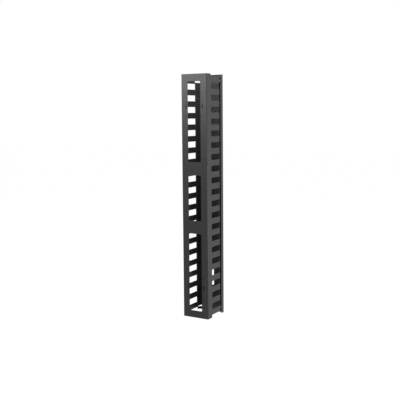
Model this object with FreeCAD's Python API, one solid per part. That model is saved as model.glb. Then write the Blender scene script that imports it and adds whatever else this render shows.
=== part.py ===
"""Vertical cable manager: a tall slotted steel channel with a hinged rear door.

Millimetres, +Z up, origin at the centre of the footprint on the floor.
The mounting plate faces -Y, the door faces +Y, hinges at -X, latches at +X.
"""
import FreeCAD, Part
import math
import os
from FreeCAD import Vector

os.makedirs("parts", exist_ok=True)

# Overall size
height = 2133.6
width = 254.0
depth = 279.4

# Sheet steel
sheet = 2.0
bend_radius = 3.0

# Mounting plate: three cable windows, and holes for the rack's bolts
return_depth = 69.85
return_corner = 10.0
window_width = 127.0
window_margin = 63.5
window_band = 114.3
middle_window_length = 398.0
window_corner = 12.0
mount_column_spacing = 162.0
mount_hole_heights = (165.1, 241.3, 361.95)
mount_hole_diameter = 9.5
mount_slot_height = 276.2
mount_slot_length = 38.1
mount_slot_width = 10.0

# Side panels: a ladder of cable slots that ends at the recess in front of the door's flange
panel_end_gap = 25.4
panel_lap_start = 10.0
slot_pitch = 101.6
slot_height = 50.8
slot_front = 74.5
slot_corner = 9.0
slot_bite = 1.0
recess_width = 19.5
recess_run = 3.0
recess_depth = 10.0
lip_width = 17.0
lip_end_gap = 90.0
door_gap = 3.0

# Reliefs at the hinge side's corners: spans measured in from the bottom and from the top
bottom_relief = (22.0, 36.0)
top_relief = (22.6, 65.6)
relief_width = 22.0
relief_reach = 9.1

# Door
door_flange = 43.0
door_return = 14.0
door_bend_radius = 2.0
door_return_inset = 6.0
hand_hole_width = 52.0
hand_hole_low = 240.0
hand_hole_high = 393.0
hand_hole_corner = 12.0

# Hinges: leaves rolled round a pin, standing in the recess
hinge_length = 76.2
hinge_end_distance = 203.2
hinge_leaf = 2.5
hinge_leaf_reach = 35.0
hinge_pin_radius = 2.5
hinge_pin_head_radius = 3.6
hinge_pin_head = 1.5
hinge_axis_from_flange = 7.3
knuckle_gap = 0.4
pin_clearance = 0.05
leaf_relief = 0.4

# Quarter-turn latches near both ends of the latch side
latch_end_distance = 57.15
latch_barrel_radius = 5.8
latch_barrel_length = 12.0
latch_flange_radius = 7.0
latch_flange = 1.5
latch_hole_clearance = 0.2
latch_nut_width = 16.0
latch_nut = 4.0
spindle_radius = 3.0
spindle_square = 4.4
knob_play = 0.6
knob_length = 9.0
knob_rim = 1.2
knob_gap = 0.3
cam_thickness = 2.7
cam_reach = 24.0
cam_half_width = 5.0
cam_gap = 0.3
cam_screw_radius = 4.5
cam_screw_head = 2.5

# Catches on the door, hooked behind the latch cams
catch_offset = 12.0
catch_height = 18.0
catch_foot = 22.0
catch_from_cam = 6.0
catch_tab = 12.0
catch_tab_play = 1.0
catch_bend_radius = 1.5

# Rubber bumpers between the latch side's lip and the door
bumper_radius = 6.0
bumper_clearance = 0.3
bumper_end_distance = 400.0

# Places worked out from the sizes above
half_width = width / 2
front_face = -depth / 2
door_face = depth / 2
door_inner_face = door_face - sheet
panel_face = half_width - sheet
recess_face = panel_face - recess_depth
recess_inner_face = recess_face - sheet
lip_face = door_inner_face - door_gap
panel_low = panel_end_gap
panel_high = height - panel_end_gap
slot_count = int((panel_high - panel_low) // slot_pitch)
flange_edge = door_face - door_flange
recess_y = flange_edge - recess_width
recess_floor_y = recess_y + recess_run
hinge_x = -half_width + sheet + recess_depth / 2
hinge_y = flange_edge - hinge_axis_from_flange
knuckle_radius = hinge_pin_radius + hinge_leaf
hinge_heights = (hinge_end_distance, height / 2, height - hinge_end_distance)
latch_y = (recess_floor_y + flange_edge) / 2
knob_radius = (flange_edge - recess_floor_y) / 2 - knob_play
latch_heights = (latch_end_distance, height - latch_end_distance)
barrel_end = recess_face - latch_barrel_length
cam_high = barrel_end - cam_gap
cam_low = cam_high - cam_thickness
catch_plane = cam_low - catch_from_cam
relief_spans = (bottom_relief, (height - top_relief[1], height - top_relief[0]))
latch_names = ("bottom", "top")
hinge_names = ("bottom", "middle", "top")


def box(x_span, y_span, z_span):
    """Block between two values on each axis."""
    size = [high - low for low, high in (x_span, y_span, z_span)]
    return Part.makeBox(*size, Vector(x_span[0], y_span[0], z_span[0]))


def rod(start, axis, radius, length):
    """Round bar from a start point along an axis."""
    return Part.makeCylinder(radius, length, Vector(*start), Vector(*axis))


def rounded_block(x_span, y_span, z_span, radius, along):
    """Block whose four edges along one axis are rounded."""
    block = box(x_span, y_span, z_span)
    edges = [edge for edge in block.Edges if abs(edge.tangentAt(0).dot(along)) > 0.99]
    return block.makeFillet(radius, edges)


def rounded_path(points, radii):
    """Edges through the points, with an arc at each inner corner whose radius isn't zero."""
    edges = []
    start = points[0]
    for before, corner, after, radius in zip(points, points[1:], points[2:], radii):
        if not radius:
            edges.append(Part.LineSegment(start, corner).toShape())
            start = corner
            continue
        back = (before - corner).normalize()
        onward = (after - corner).normalize()
        half_angle = back.getAngle(onward) / 2
        inward = (back + onward).normalize()
        reach = radius / math.tan(half_angle)
        arc_middle = corner + inward * (radius / math.sin(half_angle) - radius)
        arc_start = corner + back * reach
        arc_end = corner + onward * reach
        edges.append(Part.LineSegment(start, arc_start).toShape())
        edges.append(Part.Arc(arc_start, arc_middle, arc_end).toShape())
        start = arc_end
    edges.append(Part.LineSegment(start, points[-1]).toShape())
    return edges


def bent_sheet(plan_points, bend_radii, low, high):
    """Folded sheet: its left face follows the plan points, and it stands from low to high.

    Each bend has its inner radius, or zero for a bend that is left sharp.
    """
    outer = [Vector(x, y, low) for x, y in plan_points]
    headings = [(b - a).normalize() for a, b in zip(outer, outer[1:])]
    rights = [Vector(h.y, -h.x, 0) for h in headings]
    inner = [outer[0] + rights[0] * sheet]
    outer_radii = []
    inner_radii = []
    bends = zip(outer[1:], rights, rights[1:], headings, bend_radii)
    for corner, first, second, heading, radius in bends:
        inner.append(corner + (first + second) * (sheet / (1 + first.dot(second))))
        turns_right = heading.dot(second) < 0
        wide_radius = radius + sheet if radius else 0
        outer_radii.append(wide_radius if turns_right else radius)
        inner_radii.append(radius if turns_right else wide_radius)
    inner.append(outer[-1] + rights[-1] * sheet)
    edges = rounded_path(outer, outer_radii)
    edges.append(Part.LineSegment(outer[-1], inner[-1]).toShape())
    edges += rounded_path(inner[::-1], inner_radii[::-1])
    edges.append(Part.LineSegment(inner[0], outer[0]).toShape())
    return Part.Face(Part.Wire(edges)).extrude(Vector(0, 0, high - low))


def mirrored(shape):
    """The same shape on the other side of the channel."""
    return shape.mirror(Vector(0, 0, 0), Vector(1, 0, 0))


def hexagon_bar(start, axis, across_flats, length):
    """Hexagonal bar from a start point along +X or -X."""
    corner_radius = across_flats / 2 / math.cos(math.pi / 6)
    turns = [math.pi / 3 * step for step in range(7)]
    ring = [Vector(*start) + Vector(0, math.cos(turn), math.sin(turn)) * corner_radius for turn in turns]
    return Part.Face(Part.makePolygon(ring)).extrude(Vector(*axis) * length)


def save(name, shape):
    """Write one piece, or one group of like pieces."""
    shape.exportStep(os.path.join("parts", name + ".step"))


def window_spans():
    """Low and high edge of each window in the mounting plate."""
    long_window = height / 2 - window_margin - window_band - middle_window_length / 2
    middle_low = (height - middle_window_length) / 2
    return ((window_margin, window_margin + long_window),
            (middle_low, middle_low + middle_window_length),
            (height - window_margin - long_window, height - window_margin))


def make_back_plate():
    """Mounting plate with returned edges, windows, bolt holes and slots."""
    plan = [(half_width, front_face + return_depth), (half_width, front_face),
            (-half_width, front_face), (-half_width, front_face + return_depth)]
    plate = bent_sheet(plan, (bend_radius, bend_radius), 0, height)
    through = (front_face - sheet, front_face + 2 * sheet)
    cuts = []
    for low, high in window_spans():
        span = (-window_width / 2, window_width / 2)
        cuts.append(rounded_block(span, through, (low, high), window_corner, Vector(0, 1, 0)))
    for x in (-mount_column_spacing / 2, mount_column_spacing / 2):
        for distance in mount_hole_heights:
            for z in (distance, height - distance):
                cuts.append(rod((x, through[0], z), (0, 1, 0), mount_hole_diameter / 2, 3 * sheet))
        for z in (mount_slot_height, height - mount_slot_height):
            x_span = (x - mount_slot_width / 2, x + mount_slot_width / 2)
            z_span = (z - mount_slot_length / 2, z + mount_slot_length / 2)
            slot_round = mount_slot_width / 2 - 0.01
            cuts.append(rounded_block(x_span, through, z_span, slot_round, Vector(0, 1, 0)))
    edge = front_face + return_depth
    for end, inward in ((0, 1), (height, -1)):
        corner = [Vector(-half_width - sheet, y, z) for y, z in
                  ((edge - return_corner, end), (edge, end), (edge, end + inward * return_corner))]
        wedge = Part.Face(Part.makePolygon(corner + corner[:1]))
        cuts.append(wedge.extrude(Vector(width + 2 * sheet, 0, 0)))
    return plate.cut(cuts)


def make_side_panel():
    """Latch-side panel: slotted wall, recess and inward lip, before its own holes."""
    plan = [(recess_face - lip_width, lip_face), (recess_face, lip_face), (recess_face, recess_floor_y),
            (panel_face, recess_y), (panel_face, front_face + panel_lap_start)]
    panel = bent_sheet(plan, (bend_radius, 0, 0), panel_low, panel_high)
    slot_y = (front_face + slot_front, recess_floor_y + slot_corner)
    x_span = (panel_face - sheet - slot_bite, half_width)
    cuts = []
    for step in range(slot_count):
        middle = height / 2 + (step - (slot_count - 1) / 2) * slot_pitch
        z_span = (middle - slot_height / 2, middle + slot_height / 2)
        cuts.append(rounded_block(x_span, slot_y, z_span, slot_corner, Vector(1, 0, 0)))
    lip_x = (recess_face - lip_width - sheet, recess_inner_face - bend_radius)
    lip_y = (lip_face - 2 * sheet, lip_face + sheet)
    for z_span in ((panel_low, lip_end_gap), (height - lip_end_gap, panel_high)):
        cuts.append(box(lip_x, lip_y, z_span))
    return panel.cut(cuts)


def make_right_side_panel():
    """Side panel with a hole for each latch."""
    hole = latch_barrel_radius + latch_hole_clearance
    start = recess_inner_face - sheet
    holes = [rod((start, latch_y, z), (1, 0, 0), hole, 3 * sheet) for z in latch_heights]
    return make_side_panel().cut(holes)


def make_left_side_panel():
    """Side panel with its rear corners cut away beside the door's reliefs."""
    inner_x = -recess_face + lip_width + sheet
    wall_x = slot_bite + sheet - panel_face
    below, above = relief_spans
    lower = box((-half_width, inner_x), (flange_edge - relief_reach, door_face), (panel_low, below[1]))
    upper = box((wall_x, inner_x), (recess_y - sheet, door_face), (above[0], panel_high))
    return mirrored(make_side_panel()).cut([lower, upper])


def make_door_panel():
    """Tray-shaped door with returned ends, corner reliefs and a hand hole."""
    plan = [(-half_width, flange_edge), (-half_width, door_face),
            (half_width, door_face), (half_width, flange_edge)]
    door = bent_sheet(plan, (door_bend_radius, door_bend_radius), 0, height)
    return_x = (-half_width + door_return_inset, half_width - door_return_inset)
    return_y = (door_face - door_return, door_inner_face)
    ends = [box(return_x, return_y, z_span) for z_span in ((0, sheet), (height - sheet, height))]
    door = door.fuse(ends)
    hole_x = (-hand_hole_width / 2, hand_hole_width / 2)
    hole_y = (door_inner_face - sheet, door_face + sheet)
    hole_z = (hand_hole_low, hand_hole_high)
    cuts = [rounded_block(hole_x, hole_y, hole_z, hand_hole_corner, Vector(0, 1, 0))]
    relief_x = (-half_width - sheet, -half_width + relief_width)
    for z_span in relief_spans:
        cuts.append(box(relief_x, (flange_edge - sheet, door_face + sheet), z_span))
    return door.cut(cuts).removeSplitter()


def knuckle_spans(middle):
    """The three knuckles of one hinge, from the bottom up."""
    low = middle - hinge_length / 2
    third = hinge_length / 3
    half_gap = knuckle_gap / 2
    return [(low + step * third + half_gap, low + (step + 1) * third - half_gap) for step in range(3)]


def make_hinge_leaf(middle, outer_side, knuckles, bore_radius):
    """Flat leaf with its rolled knuckles, bored for the pin."""
    leaf_x = (hinge_x - knuckle_radius, hinge_x - hinge_pin_radius)
    if not outer_side:
        leaf_x = (hinge_x + hinge_pin_radius, hinge_x + knuckle_radius)
    clear_y = hinge_y + knuckle_radius + leaf_relief
    z_span = (middle - hinge_length / 2, middle + hinge_length / 2)
    leaf = box(leaf_x, (clear_y, hinge_y + hinge_leaf_reach), z_span)
    rolls = []
    for low, high in knuckles:
        rolls.append(rod((hinge_x, hinge_y, low), (0, 0, 1), knuckle_radius, high - low))
        rolls.append(box(leaf_x, (hinge_y, clear_y), (low, high)))
    bore = rod((hinge_x, hinge_y, z_span[0]), (0, 0, 1), bore_radius, hinge_length)
    return leaf.fuse(rolls).cut(bore).removeSplitter()


def make_hinge_pin(middle):
    """Straight pin, let in from above, with a head on the top knuckle."""
    low = middle - hinge_length / 2
    pin = rod((hinge_x, hinge_y, low), (0, 0, 1), hinge_pin_radius, hinge_length)
    head = rod((hinge_x, hinge_y, low + hinge_length), (0, 0, 1), hinge_pin_head_radius, hinge_pin_head)
    return pin.fuse(head)


def make_hinges():
    """Three butt hinges: each has a leaf on the frame, a leaf on the door and a pin."""
    for name, middle in zip(hinge_names, hinge_heights):
        low, centre, high = knuckle_spans(middle)
        frame_leaf = make_hinge_leaf(middle, False, (low, high), hinge_pin_radius)
        save(name + "_hinge_frame_leaf", frame_leaf)
        door_leaf = make_hinge_leaf(middle, True, (centre,), hinge_pin_radius + pin_clearance)
        save(name + "_hinge_door_leaf", door_leaf)
        save(name + "_hinge_pin", make_hinge_pin(middle))


def make_latch(name, z, toward_end):
    """Quarter-turn latch through the recess: barrel, nut, spindle, knob, cam and cam screw."""
    seat = recess_face + latch_flange
    barrel = rod((barrel_end, latch_y, z), (1, 0, 0), latch_barrel_radius, latch_barrel_length)
    barrel = barrel.fuse(rod((recess_face, latch_y, z), (1, 0, 0), latch_flange_radius, latch_flange))
    bore_length = latch_barrel_length + latch_flange
    bore = rod((barrel_end, latch_y, z), (1, 0, 0), spindle_radius + pin_clearance, bore_length)
    save(name + "_latch_barrel", barrel.cut(bore).removeSplitter())

    nut = hexagon_bar((recess_inner_face, latch_y, z), (-1, 0, 0), latch_nut_width, latch_nut)
    thread = rod((recess_inner_face - latch_nut, latch_y, z), (1, 0, 0), latch_barrel_radius, latch_nut)
    save(name + "_latch_nut", nut.cut(thread))

    knob_low = seat + knob_gap
    spindle = rod((cam_high, latch_y, z), (1, 0, 0), spindle_radius, knob_low - cam_high)
    half_square = spindle_square / 2
    square_y = (latch_y - half_square, latch_y + half_square)
    square_z = (z - half_square, z + half_square)
    spindle = spindle.fuse(box((cam_low, cam_high), square_y, square_z))
    save(name + "_latch_spindle", spindle)

    knob = rod((knob_low, latch_y, z), (1, 0, 0), knob_radius, knob_length)
    middle = knob_low + knob_length / 2
    rim = [edge for edge in knob.Edges if edge.Closed and edge.CenterOfMass.x > middle]
    save(name + "_latch_knob", knob.makeChamfer(knob_rim, rim))

    tip_y = latch_y + cam_reach - cam_half_width
    arm = box((cam_low, cam_high), (latch_y, tip_y), (z - cam_half_width, z + cam_half_width))
    ends = [rod((cam_low, y, z), (1, 0, 0), cam_half_width, cam_thickness) for y in (latch_y, tip_y)]
    cam = arm.fuse(ends).cut(box((cam_low, cam_high), square_y, square_z)).removeSplitter()
    save(name + "_latch_cam", cam)

    screw = rod((cam_low - cam_screw_head, latch_y, z), (1, 0, 0), cam_screw_radius, cam_screw_head)
    save(name + "_latch_cam_screw", screw)
    save(name + "_door_catch", make_catch(z, toward_end))


def make_catch(z, toward_end):
    """Hooked bracket on the door; the turned cam stands in front of its tab."""
    tab_face = latch_y - cam_half_width - catch_tab_play
    plan = [(catch_plane - sheet - catch_foot, door_inner_face), (catch_plane, door_inner_face),
            (catch_plane, tab_face), (catch_plane + catch_tab, tab_face)]
    low, high = sorted((z + toward_end * catch_offset, z + toward_end * (catch_offset + catch_height)))
    return bent_sheet(plan, (catch_bend_radius, catch_bend_radius), low, high)


def make_bumpers():
    """Rubber discs stuck on the latch side's lip."""
    thickness = door_gap - bumper_clearance
    middle_x = recess_face - lip_width / 2
    heights = (bumper_end_distance, height / 2, height - bumper_end_distance)
    discs = [rod((middle_x, lip_face, z), (0, 1, 0), bumper_radius, thickness) for z in heights]
    return Part.makeCompound(discs)


save("back_plate", make_back_plate())
save("right_side_panel", make_right_side_panel())
save("left_side_panel", make_left_side_panel())
save("door_panel", make_door_panel())
make_hinges()
for latch_name, latch_z, end_sign in zip(latch_names, latch_heights, (-1, 1)):
    make_latch(latch_name, latch_z, end_sign)
save("door_bumpers", make_bumpers())
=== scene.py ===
"""Looks of a tall steel cable manager: black powder coat, zinc-plated latches, rubber bumpers.

Laid out as an add-on: each group of pieces has its own operator, and main runs them in order.
Small sizes of the fittings are in millimetres, and are turned to metres as each piece is placed.
"""
import math

import bmesh
import bpy
from bpy.props import FloatProperty, FloatVectorProperty, IntProperty, PointerProperty
from mathutils import Matrix, Vector


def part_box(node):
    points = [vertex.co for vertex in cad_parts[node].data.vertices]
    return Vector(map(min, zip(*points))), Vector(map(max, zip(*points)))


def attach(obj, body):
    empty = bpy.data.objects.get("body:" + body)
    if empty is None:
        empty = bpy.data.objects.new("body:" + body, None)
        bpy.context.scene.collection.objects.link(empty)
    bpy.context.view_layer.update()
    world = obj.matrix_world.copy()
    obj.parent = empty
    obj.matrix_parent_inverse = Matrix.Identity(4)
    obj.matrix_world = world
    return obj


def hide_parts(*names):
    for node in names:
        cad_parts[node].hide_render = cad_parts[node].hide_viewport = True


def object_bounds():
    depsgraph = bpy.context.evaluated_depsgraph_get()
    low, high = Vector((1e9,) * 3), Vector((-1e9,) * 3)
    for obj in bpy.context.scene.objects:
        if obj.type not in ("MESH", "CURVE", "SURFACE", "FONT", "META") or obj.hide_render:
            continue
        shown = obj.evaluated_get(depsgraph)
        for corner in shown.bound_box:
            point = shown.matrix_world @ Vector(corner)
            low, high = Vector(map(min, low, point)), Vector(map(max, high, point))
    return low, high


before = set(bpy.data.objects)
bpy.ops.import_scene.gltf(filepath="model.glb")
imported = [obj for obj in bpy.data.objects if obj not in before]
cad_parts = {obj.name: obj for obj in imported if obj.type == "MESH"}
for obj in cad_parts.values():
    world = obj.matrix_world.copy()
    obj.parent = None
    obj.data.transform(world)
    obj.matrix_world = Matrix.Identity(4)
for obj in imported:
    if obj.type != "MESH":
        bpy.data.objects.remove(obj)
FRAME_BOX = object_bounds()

bl_info = {
    "name": "Vertical Cable Manager",
    "version": (1, 0, 0),
    "blender": (4, 5, 0),
    "location": "3D View > Sidebar > Cable",
    "description": "Finishes and small fittings of a slotted steel cable manager with a hinged door",
    "category": "Object",
}

MM = 0.001
SHEET = 2 * MM
ENDS = ("bottom", "top")
HINGES = ("bottom", "middle", "top")

SHEET_COAT = "Black powder coat on steel sheet"
LEAF_COAT = "Black powder coat on hinge leaves"
KNOB_COAT = "Black coat on die-cast knob"
RIVET_LACQUER = "Black rivet lacquer"
TURNED_ZINC = "Zinc plate on turned steel"
STAMPED_ZINC = "Zinc plate on stamped cam"
RUBBER = "Moulded rubber"

# An edge that turns by more than SHARP_EDGE is drawn sharp. On a stamped piece, an edge that turns
# by more than STAMPED_EDGE is broken, and one that turns by less than FLAT_EDGE is taken out.
SHARP_EDGE = math.radians(32)
STAMPED_EDGE = math.radians(40)
FLAT_EDGE = math.radians(1)
# Points nearer than this are joined: in millimetres on a new piece, in metres on a CAD mesh
JOIN_MM = 1e-4
JOIN_M = 1e-6
SENSOR_MM = 36


def linear(hex_code):
    """An sRGB hex colour as linear red, green and blue."""
    shares = [int(hex_code[i:i + 2], 16) / 255 for i in (1, 3, 5)]
    return tuple(s / 12.92 if s <= 0.04045 else ((s + 0.055) / 1.055) ** 2.4 for s in shares)


def per_metre(size_mm):
    """The scale of a pattern whose repeats are this many millimetres apart."""
    return 1000.0 / size_mm


class SheetFinish(bpy.types.PropertyGroup):
    """Powder coat on the folded sheets."""

    colour: FloatVectorProperty(
        name="Coat colour", description="Colour of the powder coat", subtype="COLOR",
        size=3, min=0, max=1, default=linear("#212122"))
    roughness: FloatProperty(
        name="Coat roughness", description="Middle roughness of the satin coat", subtype="FACTOR",
        min=0, max=1, default=0.36)
    gloss: FloatProperty(
        name="Coat gloss", description="Specular level of the coat, where 0.5 is a smooth lacquer",
        subtype="FACTOR", min=0, max=1, default=0.28)
    peel: FloatProperty(
        name="Orange peel", description="Distance between the coat's ripples in millimetres",
        min=0.5, default=2.4)
    mottle: FloatProperty(
        name="Mottle", description="Width of the patches of thicker and thinner coat in millimetres",
        min=5, default=55)


class FittingColours(bpy.types.PropertyGroup):
    """Colours of the small fittings."""

    knob: FloatVectorProperty(
        name="Knob colour", description="Colour of the coat on the latch knobs", subtype="COLOR",
        size=3, min=0, max=1, default=linear("#27282A"))
    rivet: FloatVectorProperty(
        name="Rivet colour", description="Colour of the lacquer on the rivet heads", subtype="COLOR",
        size=3, min=0, max=1, default=linear("#1E1F20"))
    turned_zinc: FloatVectorProperty(
        name="Turned zinc", description="Colour of the plating on turned pieces", subtype="COLOR",
        size=3, min=0, max=1, default=linear("#C3C6C9"))
    stamped_zinc: FloatVectorProperty(
        name="Stamped zinc", description="Colour of the plating on the cams", subtype="COLOR",
        size=3, min=0, max=1, default=linear("#B9BCBE"))
    rubber: FloatVectorProperty(
        name="Rubber colour", description="Colour of the bumpers", subtype="COLOR",
        size=3, min=0, max=1, default=linear("#151515"))


class FittingDetail(bpy.types.PropertyGroup):
    """Sizes of the small fittings."""

    rib_count: IntProperty(
        name="Knob ribs", description="Ribs round each latch knob", min=8, max=48, default=24)
    rib_height: FloatProperty(
        name="Rib height", description="How far a rib stands out of the knob", unit="LENGTH",
        default=0.35 * MM)
    thread_pitch: FloatProperty(
        name="Thread pitch", description="Distance between the crests on a latch barrel", unit="LENGTH",
        default=1.0 * MM)
    thread_radius: FloatProperty(
        name="Thread radius", description="Radius of the thread on a latch barrel", unit="LENGTH",
        default=5.8 * MM)
    barrel_flange: FloatProperty(
        name="Barrel flange", description="Thickness of the flange on a latch barrel", unit="LENGTH",
        default=1.5 * MM)
    pin_radius: FloatProperty(
        name="Pin radius", description="Radius of the hinge pins", unit="LENGTH", default=2.5 * MM)
    pin_head: FloatProperty(
        name="Pin head", description="Height of the hinge pins' heads", unit="LENGTH", default=1.5 * MM)
    rivet_radius: FloatProperty(
        name="Rivet head radius", description="Radius of the domed rivet heads", unit="LENGTH",
        default=3.4 * MM)
    rivet_height: FloatProperty(
        name="Rivet head height", description="Height of the domed rivet heads", unit="LENGTH",
        default=1.1 * MM)
    rivet_pitch: FloatProperty(
        name="Rivet pitch", description="Distance between the rivets of a hinge leaf", unit="LENGTH",
        default=25.4 * MM)
    rivet_inset: FloatProperty(
        name="Rivet inset", description="Distance of a hinge leaf's rivets from its free edge",
        unit="LENGTH", default=13 * MM)
    edge_break: FloatProperty(
        name="Edge break", description="Width of the bevel on stamped edges", unit="LENGTH",
        default=0.25 * MM)


class StudioSettings(bpy.types.PropertyGroup):
    """Camera and lights of the product photograph."""

    camera_place: FloatVectorProperty(
        name="Camera place", description="Where the camera stands", subtype="TRANSLATION", unit="LENGTH",
        size=3, default=(3.1714, -5.2947, 1.7920))
    camera_yaw: FloatProperty(
        name="Yaw", description="How far the camera is turned to the left", subtype="ANGLE",
        default=math.radians(31.18))
    camera_pitch: FloatProperty(
        name="Pitch", description="How far the camera looks down", subtype="ANGLE",
        default=math.radians(6.98))
    camera_roll: FloatProperty(
        name="Roll", description="How far the camera is rolled clockwise", subtype="ANGLE",
        default=math.radians(0.49))
    lens: FloatProperty(
        name="Lens", description="Focal length on a 36 mm sensor", subtype="DISTANCE_CAMERA", default=63.15)
    room_light: FloatProperty(
        name="Room light", description="Brightness of the white room on the object", min=0, default=0.7)
    front_light: FloatProperty(
        name="Front light", description="Power of the soft box in front of the top end", subtype="POWER",
        default=49)
    overhead_light: FloatProperty(
        name="Overhead light", description="Power of the soft box above the open top", subtype="POWER",
        default=165)
    side_light: FloatProperty(
        name="Side light", description="Power of the soft box on the right", subtype="POWER", default=105)
    shadow_share: FloatProperty(
        name="Shadow share", description="How much of the floor's own shading the camera sees",
        subtype="FACTOR", min=0, max=1, default=0.12)


def add_node(tree, kind, settings=None, values=None, links=None):
    """Add one node with its settings, its socket values and the sockets that feed it."""
    node = tree.nodes.new(kind)
    for name, value in (settings or {}).items():
        setattr(node, name, value)
    for name, value in (values or {}).items():
        node.inputs[name].default_value = value
    for name, source in (links or {}).items():
        tree.links.new(source, node.inputs[name])
    return node


def empty_material(name):
    """A material with an empty node tree."""
    material = bpy.data.materials.new(name)
    material.use_nodes = True
    material.node_tree.nodes.clear()
    return material, material.node_tree


def close_tree(tree, shader):
    """Send the shader to the material's output."""
    add_node(tree, "ShaderNodeOutputMaterial", links={"Surface": shader.outputs[0]})


def powder_coat(name, colour, roughness, gloss, peel_mm, mottle_mm):
    """Polyester powder coat over steel.

    The eye gets near-black satin that shows the white room as soft grey, with a faint orange
    peel in the highlights and slow patches where the coat came out thicker or thinner.
    """
    material, tree = empty_material(name)
    place = add_node(tree, "ShaderNodeTexCoord").outputs["Object"]
    mottle = add_node(tree, "ShaderNodeTexNoise", values={"Scale": per_metre(mottle_mm), "Detail": 3.0},
                      links={"Vector": place})
    tint = add_node(tree, "ShaderNodeMix", {"data_type": "RGBA"}, links={"Factor": mottle.outputs["Fac"]})
    tint.inputs["A"].default_value = (*[c * 0.93 for c in colour], 1)
    tint.inputs["B"].default_value = (*[c * 1.07 for c in colour], 1)
    drift = 0.012
    sheen = add_node(tree, "ShaderNodeMapRange", values={
        "From Min": 0.25, "From Max": 0.75, "To Min": roughness - drift, "To Max": roughness + drift},
        links={"Value": mottle.outputs["Fac"]})
    peel = add_node(tree, "ShaderNodeTexNoise", values={"Scale": per_metre(peel_mm), "Detail": 2.0},
                    links={"Vector": place})
    # the real grit is about 0.3 mm, too fine to show: it is drawn three times as coarse
    grit = add_node(tree, "ShaderNodeTexNoise", values={"Scale": per_metre(0.9), "Detail": 1.0},
                    links={"Vector": place})
    ripple = add_node(tree, "ShaderNodeBump", values={"Strength": 0.3, "Distance": 0.03 * MM},
                      links={"Height": peel.outputs["Fac"]})
    relief = add_node(tree, "ShaderNodeBump", values={"Strength": 0.2, "Distance": 0.015 * MM},
                      links={"Height": grit.outputs["Fac"], "Normal": ripple.outputs["Normal"]})
    shader = add_node(tree, "ShaderNodeBsdfPrincipled", values={"IOR": 1.5, "Specular IOR Level": gloss},
                      links={"Base Color": tint.outputs["Result"], "Roughness": sheen.outputs["Result"],
                             "Normal": relief.outputs["Normal"]})
    close_tree(tree, shader)
    return material


def zinc_plate(name, colour, roughness):
    """Bright zinc plating on small turned and stamped steel pieces.

    The eye gets a cool silvery metal with cloudy passivation and fine marks from the tumbler.
    """
    material, tree = empty_material(name)
    place = add_node(tree, "ShaderNodeTexCoord").outputs["Object"]
    cloud = add_node(tree, "ShaderNodeTexNoise", values={"Scale": per_metre(6), "Detail": 4.0},
                     links={"Vector": place})
    tint = add_node(tree, "ShaderNodeMix", {"data_type": "RGBA"}, links={"Factor": cloud.outputs["Fac"]})
    tint.inputs["A"].default_value = (*[c * 0.86 for c in colour], 1)
    tint.inputs["B"].default_value = (colour[0], colour[1], colour[2] * 0.94, 1)
    dull = add_node(tree, "ShaderNodeMapRange", values={
        "From Min": 0.3, "From Max": 0.7, "To Min": roughness - 0.06, "To Max": roughness + 0.08},
        links={"Value": cloud.outputs["Fac"]})
    marks = add_node(tree, "ShaderNodeTexNoise", values={"Scale": per_metre(0.8), "Detail": 3.0},
                     links={"Vector": place})
    relief = add_node(tree, "ShaderNodeBump", values={"Strength": 0.15, "Distance": 0.02 * MM},
                      links={"Height": marks.outputs["Fac"]})
    shader = add_node(tree, "ShaderNodeBsdfPrincipled", values={"Metallic": 1.0},
                      links={"Base Color": tint.outputs["Result"], "Roughness": dull.outputs["Result"],
                             "Normal": relief.outputs["Normal"]})
    close_tree(tree, shader)
    return material


def moulded_rubber(name, colour, roughness):
    """Moulded nitrile rubber.

    The eye gets a matt black that stays dark at every angle, with a faint bloom on its skin.
    """
    material, tree = empty_material(name)
    place = add_node(tree, "ShaderNodeTexCoord").outputs["Object"]
    bloom = add_node(tree, "ShaderNodeTexNoise", values={"Scale": per_metre(4), "Detail": 3.0},
                     links={"Vector": place})
    tint = add_node(tree, "ShaderNodeMix", {"data_type": "RGBA"}, links={"Factor": bloom.outputs["Fac"]})
    tint.inputs["A"].default_value = (*colour, 1)
    tint.inputs["B"].default_value = (*[c * 1.6 for c in colour], 1)
    pores = add_node(tree, "ShaderNodeTexNoise", values={"Scale": per_metre(0.5), "Detail": 2.0},
                     links={"Vector": place})
    relief = add_node(tree, "ShaderNodeBump", values={"Strength": 0.3, "Distance": 0.05 * MM},
                      links={"Height": pores.outputs["Fac"]})
    shader = add_node(tree, "ShaderNodeBsdfPrincipled",
                      values={"Roughness": roughness, "Specular IOR Level": 0.3},
                      links={"Base Color": tint.outputs["Result"], "Normal": relief.outputs["Normal"]})
    close_tree(tree, shader)
    return material


def finish_of(name):
    """The material of that name, made on its first use."""
    if name in bpy.data.materials:
        return bpy.data.materials[name]
    sheet = bpy.context.scene.cable_sheet
    colours = bpy.context.scene.cable_colours
    sheet_coat = {"colour": sheet.colour, "roughness": sheet.roughness, "gloss": sheet.gloss,
                  "peel_mm": sheet.peel, "mottle_mm": sheet.mottle}
    if name == SHEET_COAT:
        return powder_coat(name, **sheet_coat)
    if name == LEAF_COAT:
        # narrow leaves take a smoother coat, so the eye gets a slightly sharper sheen
        return powder_coat(name, **{**sheet_coat, "roughness": sheet.roughness - 0.04, "mottle_mm": 18})
    if name == KNOB_COAT:
        # the eye gets the shine of handled metal, and a paler black than the sheets'
        return powder_coat(name, colours.knob, sheet.roughness - 0.06, gloss=0.5, peel_mm=1.6, mottle_mm=9)
    if name == RIVET_LACQUER:
        # the eye gets a small glint on each dome
        return powder_coat(name, colours.rivet, sheet.roughness - 0.08, gloss=0.5, peel_mm=1.2, mottle_mm=5)
    if name == TURNED_ZINC:
        return zinc_plate(name, colours.turned_zinc, roughness=0.3)
    if name == STAMPED_ZINC:
        return zinc_plate(name, colours.stamped_zinc, roughness=0.36)
    return moulded_rubber(name, colours.rubber, roughness=0.75)


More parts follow.
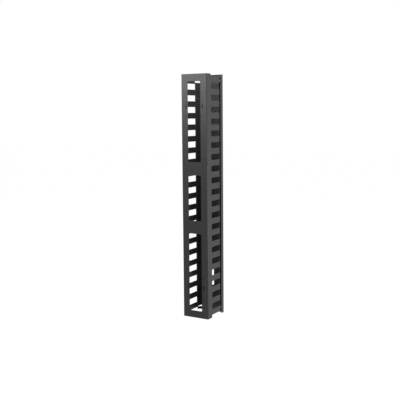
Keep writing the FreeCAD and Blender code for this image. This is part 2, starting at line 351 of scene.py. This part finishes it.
def size_mm(node):
    """A node's width, depth and height at rest, in millimetres."""
    low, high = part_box(node)
    return [(b - a) / MM for a, b in zip(low, high)]


def middle_of(node):
    """The middle of a node's box at rest."""
    low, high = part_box(node)
    return (low + high) / 2


def seat_of(node, axis):
    """The middle of the face of a node's box from which an axis starts."""
    low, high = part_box(node)
    seat = middle_of(node)
    for i, turn in enumerate(axis):
        if turn:
            seat[i] = low[i] if turn > 0 else high[i]
    return seat


def new_piece(bm, name):
    """An object from a finished mesh, smooth apart from its sharp edges."""
    mesh = bpy.data.meshes.new(name)
    bm.to_mesh(mesh)
    bm.free()
    mesh.shade_smooth()
    mesh.set_sharp_from_angle(angle=SHARP_EDGE)
    piece = bpy.data.objects.new(name, mesh)
    bpy.context.scene.collection.objects.link(piece)
    return piece


def place_piece(bm, name, axis, place):
    """Turn a mesh made in millimetres along +Z to its axis, and put it in place."""
    turn = Vector((0, 0, 1)).rotation_difference(Vector(axis)).to_matrix().to_4x4()
    matrix = Matrix.Translation(place) @ turn @ Matrix.Scale(MM, 4)
    bmesh.ops.transform(bm, matrix=matrix, verts=bm.verts)
    return new_piece(bm, name)


def dress(piece, body, finish, replaced=()):
    """Give a piece its finish, the body that it moves with and the nodes that it stands for."""
    piece.data.materials.clear()
    piece.data.materials.append(finish_of(finish))
    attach(piece, body)
    if replaced:
        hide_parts(*replaced)


def stand_in(bm, node, ending, axis, body, finish):
    """Put a mesh made along +Z in the place of a node, whose name it takes with an ending."""
    piece = place_piece(bm, node + ending, axis, seat_of(node, axis))
    dress(piece, body, finish, (node,))


def spun(profile, steps):
    """A closed turned form: radius and height of each point, from the axis and back to it."""
    bm = bmesh.new()
    points = [bm.verts.new((radius, 0, height)) for radius, height in profile]
    edges = [bm.edges.new(pair) for pair in zip(points, points[1:])]
    bmesh.ops.spin(bm, geom=points + edges, cent=(0, 0, 0), axis=(0, 0, 1), angle=2 * math.pi,
                   steps=steps, use_merge=True)
    bmesh.ops.remove_doubles(bm, verts=bm.verts, dist=JOIN_MM)
    bmesh.ops.recalc_face_normals(bm, faces=bm.faces)
    return bm


def ring(bm, sides, radius, height, count):
    """A loop of count points at one height: round where sides is zero, else a polygon's outline."""
    earlier = len(bm.verts)
    made = bmesh.ops.create_circle(bm, segments=sides or count, radius=radius)
    if sides:
        edges = list({edge for vert in made["verts"] for edge in vert.link_edges})
        bmesh.ops.subdivide_edges(bm, edges=edges, cuts=count // sides - 1)
    verts = list(bm.verts)[earlier:]
    bmesh.ops.translate(bm, vec=(0, 0, height), verts=verts)
    return list({edge for vert in verts for edge in vert.link_edges})


def stacked(rings, count, closed):
    """A form skinned over rings, closed by a cap at both ends or by a skin from last to first."""
    bm = bmesh.new()
    loops = [ring(bm, sides, radius, height, count) for sides, radius, height in rings]
    for low, high in zip(loops, loops[1:]):
        bmesh.ops.bridge_loops(bm, edges=low + high)
    if closed:
        bmesh.ops.bridge_loops(bm, edges=loops[-1] + loops[0])
    else:
        bmesh.ops.contextual_create(bm, geom=loops[0])
        bmesh.ops.contextual_create(bm, geom=loops[-1])
    bmesh.ops.recalc_face_normals(bm, faces=bm.faces)
    return bm


def dome(radius, height, dimple):
    """Head of a set blind rivet: a low dome with the dimple that its pin left."""
    profile = [(0, height - dimple), (radius * 0.22, height - dimple), (radius * 0.3, height),
               (radius * 0.6, height * 0.94), (radius * 0.85, height * 0.66), (radius, height * 0.15),
               (radius, 0), (0, 0)]
    return spun(profile, 20)


def softened_copy(node, name):
    """The CAD piece again, with its stamped edges broken."""
    bm = bmesh.new()
    bm.from_mesh(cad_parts[node].data)
    bmesh.ops.remove_doubles(bm, verts=bm.verts, dist=JOIN_M)
    bmesh.ops.dissolve_limit(bm, angle_limit=FLAT_EDGE, verts=bm.verts, edges=bm.edges)
    sharp = [edge for edge in bm.edges if edge.is_manifold and edge.calc_face_angle() > STAMPED_EDGE]
    bmesh.ops.bevel(bm, geom=sharp, offset=bpy.context.scene.cable_fittings.edge_break, offset_type="OFFSET",
                    affect="EDGES", segments=2, profile=0.5, material=-1, clamp_overlap=True)
    return new_piece(bm, name)


class FinishSheets(bpy.types.Operator):
    """Powder coat on the sheets, catches and hinge leaves, and the fittings' finishes on the small nodes."""

    bl_idname = "cable_manager.finish_sheets"
    bl_label = "Sheets"

    def execute(self, context):
        for name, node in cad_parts.items():
            if name.endswith("_leaf"):
                finish = LEAF_COAT
            elif name.endswith(("_spindle", "_nut", "_barrel", "_pin", "_screw", "_cam")):
                finish = TURNED_ZINC
            elif name.endswith("_knob"):
                finish = KNOB_COAT
            elif name.endswith("bumpers"):
                finish = RUBBER
            else:
                finish = SHEET_COAT
            node.data.materials.clear()
            node.data.materials.append(finish_of(finish))
        return {"FINISHED"}


class MakeKnobs(bpy.types.Operator):
    """Ribbed knobs of the quarter-turn latches, with a flat front and a small dimple in its middle."""

    bl_idname = "cable_manager.make_knobs"
    bl_label = "Latch knobs"

    def execute(self, context):
        rib = context.scene.cable_fittings.rib_height / MM
        points = 2 * context.scene.cable_fittings.rib_count
        rim = 0.9
        rim_step = 0.4
        grip_low = 0.7
        grip_below_front = 1.3
        dimple_depth = 0.8
        rib_taper = 0.12
        nearly_upright = 0.05
        for end in ENDS:
            node = end + "_latch_knob"
            length, _, across = size_mm(node)
            outer = across / 2
            body = outer - rib
            grip_high = length - grip_below_front
            rings = [(0, body - rim, 0), (0, body, grip_low), (0, body, grip_high),
                     (0, body - rim_step, length - rim_step), (0, body - rim, length),
                     (0, outer * 0.34, length), (0, outer * 0.28, length - dimple_depth)]
            bm = stacked(rings, points, closed=False)
            grip = [face for face in bm.faces if abs(face.normal.z) < nearly_upright
                    and grip_low < face.calc_center_median().z < grip_high]
            grip.sort(key=lambda face: math.atan2(*face.calc_center_median().yx))
            bmesh.ops.inset_individual(bm, faces=grip[::2], thickness=rib_taper, depth=rib)
            stand_in(bm, node, "_ribbed", (1, 0, 0), end + "_latch", KNOB_COAT)
        return {"FINISHED"}


class MakeBarrels(bpy.types.Operator):
    """Threaded latch barrels with their flange, and the spindle's bore."""

    bl_idname = "cable_manager.make_barrels"
    bl_label = "Latch barrels"

    def execute(self, context):
        fittings = context.scene.cable_fittings
        pitch = fittings.thread_pitch / MM
        crest = fittings.thread_radius / MM
        flange = fittings.barrel_flange / MM
        root = crest - 0.55
        tip = crest - 0.7
        thread_start = 0.3
        runout = 2.2
        flange_edge = 0.5
        bore_edge = 0.4
        bore_play = 0.06
        for end in ENDS:
            node = end + "_latch_barrel"
            length, _, across = size_mm(node)
            flange_radius = across / 2
            bore = size_mm(end + "_latch_spindle")[2] / 2 + bore_play
            shoulder = length - flange
            turns = int((shoulder - runout) / pitch)
            profile = [(bore, 0), (tip, 0)]
            for turn in range(turns):
                start = thread_start + turn * pitch
                profile += [(root, start), (crest, start + pitch / 2)]
            profile += [(root, thread_start + turns * pitch), (root, shoulder), (flange_radius, shoulder),
                        (flange_radius, length - flange_edge), (flange_radius - flange_edge, length),
                        (bore + bore_edge, length), (bore, length - bore_edge), (bore, 0)]
            stand_in(spun(profile, 40), node, "_threaded", (1, 0, 0), "frame",
                     TURNED_ZINC)
        return {"FINISHED"}


class MakeNuts(bpy.types.Operator):
    """Hexagon nuts of the latches, chamfered on both faces."""

    bl_idname = "cable_manager.make_nuts"
    bl_label = "Latch nuts"

    def execute(self, context):
        bore = context.scene.cable_fittings.thread_radius / MM
        bore_mouth = bore + 0.3
        bore_edge = 0.4
        chamfer = 0.6
        for end in ENDS:
            node = end + "_latch_nut"
            thickness, *across = size_mm(node)
            corner = max(across) / 2
            washer_face = corner * math.cos(math.pi / 6) * 0.98
            rings = [(0, bore_mouth, 0), (0, washer_face, 0), (6, corner, chamfer),
                     (6, corner, thickness - chamfer), (0, washer_face, thickness),
                     (0, bore_mouth, thickness), (0, bore, thickness - bore_edge), (0, bore, bore_edge)]
            bm = stacked(rings, 48, closed=True)
            stand_in(bm, node, "_chamfered", (1, 0, 0), "frame", TURNED_ZINC)
        return {"FINISHED"}


class MakeCamScrews(bpy.types.Operator):
    """Button-head screws with a hexagon socket, one in the end of each spindle."""

    bl_idname = "cable_manager.make_cam_screws"
    bl_label = "Cam screws"

    def execute(self, context):
        for end in ENDS:
            node = end + "_latch_cam_screw"
            height, _, across = size_mm(node)
            radius = across / 2
            socket = radius / 2
            socket_floor = height * 0.35
            rings = [(0, radius, 0), (0, radius, height * 0.35), (0, radius * 0.9, height * 0.72),
                     (0, radius * 0.7, height), (6, socket, height), (6, socket, socket_floor)]
            bm = stacked(rings, 36, closed=False)
            stand_in(bm, node, "_socket", (-1, 0, 0), end + "_latch", TURNED_ZINC)
        return {"FINISHED"}


class MakeCams(bpy.types.Operator):
    """Stamped cams and square-ended spindles, with their edges broken."""

    bl_idname = "cable_manager.make_cams"
    bl_label = "Cams and spindles"

    def execute(self, context):
        for end in ENDS:
            for part, finish in (("_latch_cam", STAMPED_ZINC), ("_latch_spindle", TURNED_ZINC)):
                node = end + part
                piece = softened_copy(node, node + "_softened")
                dress(piece, end + "_latch", finish, (node,))
        return {"FINISHED"}


class MakeHingePins(bpy.types.Operator):
    """Hinge pins with a domed head above the top knuckle."""

    bl_idname = "cable_manager.make_hinge_pins"
    bl_label = "Hinge pins"

    def execute(self, context):
        shank = context.scene.cable_fittings.pin_radius / MM
        head_height = context.scene.cable_fittings.pin_head / MM
        point_chamfer = 0.4
        for hinge in HINGES:
            node = hinge + "_hinge_pin"
            across, _, length = size_mm(node)
            head = across / 2
            head_low = length - head_height
            profile = [(0, 0), (shank - point_chamfer, 0), (shank, point_chamfer), (shank, head_low),
                       (head, head_low), (head, length - 0.9), (head * 0.86, length - 0.4),
                       (head * 0.5, length - 0.05), (0, length)]
            stand_in(spun(profile, 28), node, "_domed", (0, 0, 1), "frame", TURNED_ZINC)
        return {"FINISHED"}


class MakeRivets(bpy.types.Operator):
    """Domed rivet heads on the hinge leaves, inside the channel behind them, and on the catches."""

    bl_idname = "cable_manager.make_rivets"
    bl_label = "Rivets"

    def execute(self, context):
        fittings = context.scene.cable_fittings
        for hinge in HINGES:
            pin = middle_of(hinge + "_hinge_pin")
            leaf_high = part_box(hinge + "_hinge_frame_leaf")[1]
            y = leaf_high.y - fittings.rivet_inset
            for number in (1, 2, 3):
                z = pin.z + (number - 2) * fittings.rivet_pitch
                frame_face = (pin.x + fittings.pin_radius, y, z)
                door_face = (pin.x - fittings.pin_radius, y, z)
                self.set_rivet(f"{hinge}_frame_rivet_{number}", (-1, 0, 0), frame_face, "frame")
                self.set_rivet(f"{hinge}_frame_rivet_tail_{number}", (1, 0, 0), (leaf_high.x + SHEET, y, z),
                               "frame", share=0.8, dimple=0.2)
                self.set_rivet(f"{hinge}_door_rivet_{number}", (1, 0, 0), door_face, "door")
        catch_rivet_inset = 9 * MM
        for end in ENDS:
            low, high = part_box(end + "_door_catch")
            for quarter in (1, 3):
                z = low.z + quarter / 4 * (high.z - low.z)
                place = (low.x + catch_rivet_inset, high.y - SHEET, z)
                self.set_rivet(f"{end}_catch_rivet_{quarter}", (0, -1, 0), place, "door")
        return {"FINISHED"}

    def set_rivet(self, name, axis, place, body, share=1.0, dimple=0.3):
        """One rivet head, or the smaller tail behind it."""
        fittings = bpy.context.scene.cable_fittings
        head = dome(fittings.rivet_radius / MM * share, fittings.rivet_height / MM, dimple)
        dress(place_piece(head, name, axis, place), body, RIVET_LACQUER)


class MakeBumpers(bpy.types.Operator):
    """Rounded rubber bumpers on the latch side's lip."""

    bl_idname = "cable_manager.make_bumpers"
    bl_label = "Bumpers"

    def execute(self, context):
        node = "door_bumpers"
        low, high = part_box(node)
        middle = middle_of(node)
        across, height, _ = size_mm(node)
        radius = across / 2
        profile = [(0, 0), (radius, 0), (radius, height * 0.45), (radius * 0.93, height * 0.75),
                   (radius * 0.78, height * 0.95), (radius * 0.55, height), (0, height)]
        heights = (low.z + radius * MM, middle.z, high.z - radius * MM)
        for number, z in enumerate(heights, 1):
            piece = place_piece(spun(profile, 32), f"bumper_{number}", (0, 1, 0), (middle.x, low.y, z))
            dress(piece, "frame", RUBBER, (node,))
        return {"FINISHED"}


def seen_by_eye(tree):
    """One for rays that the camera, a gloss or a glass sends, and zero for light on the object."""
    path = add_node(tree, "ShaderNodeLightPath")
    seen = add_node(tree, "ShaderNodeMath", {"operation": "ADD"}, links={
        0: path.outputs["Is Camera Ray"], 1: path.outputs["Is Glossy Ray"]})
    seen = add_node(tree, "ShaderNodeMath", {"operation": "ADD", "use_clamp": True}, links={
        0: seen.outputs["Value"], 1: path.outputs["Is Transmission Ray"]})
    return seen.outputs["Value"]


class SetStage(bpy.types.Operator):
    """White room with soft boxes, and the camera at the photograph's place."""

    bl_idname = "cable_manager.set_stage"
    bl_label = "Stage"

    def execute(self, context):
        studio = context.scene.cable_studio
        self.make_floor(studio)
        self.make_flag()
        self.make_room(context.scene, studio)
        self.make_lamps(context.scene, studio)
        self.make_camera(context.scene, studio)
        context.scene.view_settings.view_transform = "Standard"
        return {"FINISHED"}

    def make_floor(self, studio):
        """White floor for the camera, with a share of its own shading so that shadows stay."""
        half_size = 30
        below_object = Matrix.Translation((0, 0, -0.5 * MM))
        # with the shading's share taken off, this strength comes to just under white
        glow_strength = 1.1
        bm = bmesh.new()
        bmesh.ops.create_grid(bm, x_segments=1, y_segments=1, size=half_size, matrix=below_object)
        floor = new_piece(bm, "studio_floor")
        material, tree = empty_material("Matt white studio floor")
        shading = add_node(tree, "ShaderNodeBsdfDiffuse", values={"Color": (*linear("#A0A0A0"), 1)})
        glow = add_node(tree, "ShaderNodeEmission",
                        values={"Color": (1, 1, 1, 1), "Strength": glow_strength})
        factor = add_node(tree, "ShaderNodeMath", {"operation": "MULTIPLY"},
                          values={1: 1 - studio.shadow_share}, links={0: seen_by_eye(tree)})
        shader = add_node(tree, "ShaderNodeMixShader", links={
            0: factor.outputs["Value"], 1: shading.outputs["BSDF"], 2: glow.outputs["Emission"]})
        close_tree(tree, shader)
        floor.data.materials.append(material)

    def make_flag(self):
        """Black card at the camera's right, which leaves the rounded bend darker than both flats."""
        width = 3.0
        height = 2.6
        foot = (2.3, -1.2)
        facing = math.radians(57)
        upright = Matrix.Rotation(math.pi / 2, 4, "X")
        turned = Matrix.Rotation(facing, 4, "Z")
        placed = Matrix.Translation((*foot, height / 2))
        bm = bmesh.new()
        bmesh.ops.create_grid(bm, x_segments=1, y_segments=1, size=0.5,
                              matrix=placed @ turned @ upright @ Matrix.Diagonal((width, height, 1, 1)))
        flag = new_piece(bm, "black_flag")
        material, tree = empty_material("Black velvet flag")
        velvet = add_node(tree, "ShaderNodeBsdfDiffuse", values={"Color": (*linear("#050505"), 1)})
        close_tree(tree, velvet)
        flag.data.materials.append(material)
        flag.visible_camera = False

    def make_room(self, scene, studio):
        """Even white all round, dimmer as light on the object than as the camera sees it."""
        world = bpy.data.worlds.new("White room")
        world.use_nodes = True
        tree = world.node_tree
        tree.nodes.clear()
        level = add_node(tree, "ShaderNodeMapRange", values={"To Min": studio.room_light, "To Max": 1.0},
                         links={"Value": seen_by_eye(tree)})
        room = add_node(tree, "ShaderNodeBackground", values={"Color": (1, 1, 1, 1)},
                        links={"Strength": level.outputs["Result"]})
        add_node(tree, "ShaderNodeOutputWorld", links={"Surface": room.outputs["Background"]})
        scene.world = world

    def make_lamps(self, scene, studio):
        """Soft boxes, each aimed at a point of the object and placed from it."""
        low, high = FRAME_BOX
        middle = (low + high) / 2
        top = Vector((middle.x, low.y, high.z))
        lamps = (("Front soft box", top, (-1.5, -2.0, 0.4), (1.8, 1.2), studio.front_light),
                 ("Overhead soft box", top, (0.3, -0.2, 1.2), (1.4, 1.4), studio.overhead_light),
                 ("Right soft box", middle, (2.8, 0.5, -0.6), (1.6, 1.6), studio.side_light))
        for name, target, offset, size, power in lamps:
            place = target + Vector(offset)
            light = bpy.data.lights.new(name, "AREA")
            light.shape = "RECTANGLE"
            light.size, light.size_y = size
            light.energy = power
            lamp = bpy.data.objects.new(name, light)
            lamp.location = place
            lamp.rotation_euler = (target - place).to_track_quat("-Z", "Y").to_euler()
            scene.collection.objects.link(lamp)

    def make_camera(self, scene, studio):
        """Camera of the photograph, from its place, its three turns and its lens."""
        yaw, pitch, roll = studio.camera_yaw, studio.camera_pitch, studio.camera_roll
        forward = Vector((-math.sin(yaw) * math.cos(pitch), math.cos(yaw) * math.cos(pitch),
                          -math.sin(pitch)))
        level_right = Vector((math.cos(yaw), math.sin(yaw), 0))
        level_down = forward.cross(level_right)
        right = math.cos(roll) * level_right + math.sin(roll) * level_down
        down = math.cos(roll) * level_down - math.sin(roll) * level_right
        data = bpy.data.cameras.new("Photograph view")
        data.sensor_width = SENSOR_MM
        data.lens = studio.lens
        camera = bpy.data.objects.new("Photograph view", data)
        axes = Matrix((right, -down, -forward)).transposed()
        camera.matrix_world = Matrix.Translation(studio.camera_place) @ axes.to_4x4()
        scene.collection.objects.link(camera)
        scene.camera = camera


STEPS = (FinishSheets, MakeKnobs, MakeBarrels, MakeNuts, MakeCamScrews, MakeCams, MakeHingePins,
         MakeRivets, MakeBumpers, SetStage)
SETTINGS = {"cable_sheet": SheetFinish, "cable_colours": FittingColours, "cable_fittings": FittingDetail,
            "cable_studio": StudioSettings}


class CablePanel(bpy.types.Panel):
    """Buttons for each group of pieces, and the sizes and colours behind them."""

    bl_idname = "VIEW3D_PT_cable_manager"
    bl_label = "Cable manager"
    bl_space_type = "VIEW_3D"
    bl_region_type = "UI"
    bl_category = "Cable"

    def draw(self, context):
        layout = self.layout
        for step in STEPS:
            layout.operator(step.bl_idname)
        for group, kind in SETTINGS.items():
            column = layout.column(align=True)
            for name in kind.__annotations__:
                column.prop(getattr(context.scene, group), name)


CLASSES = (*SETTINGS.values(), *STEPS, CablePanel)


def register():
    """Make the classes and the scene's settings known."""
    for each in CLASSES:
        bpy.utils.register_class(each)
    for group, kind in SETTINGS.items():
        setattr(bpy.types.Scene, group, PointerProperty(type=kind))


def unregister():
    """Take the settings and the classes away again."""
    for group in SETTINGS:
        delattr(bpy.types.Scene, group)
    for each in reversed(CLASSES):
        bpy.utils.unregister_class(each)


def main():
    """Make every piece in order."""
    register()
    for step in STEPS:
        group, name = step.bl_idname.split(".")
        getattr(getattr(bpy.ops, group), name)()


if __name__ == "__main__":
    main()
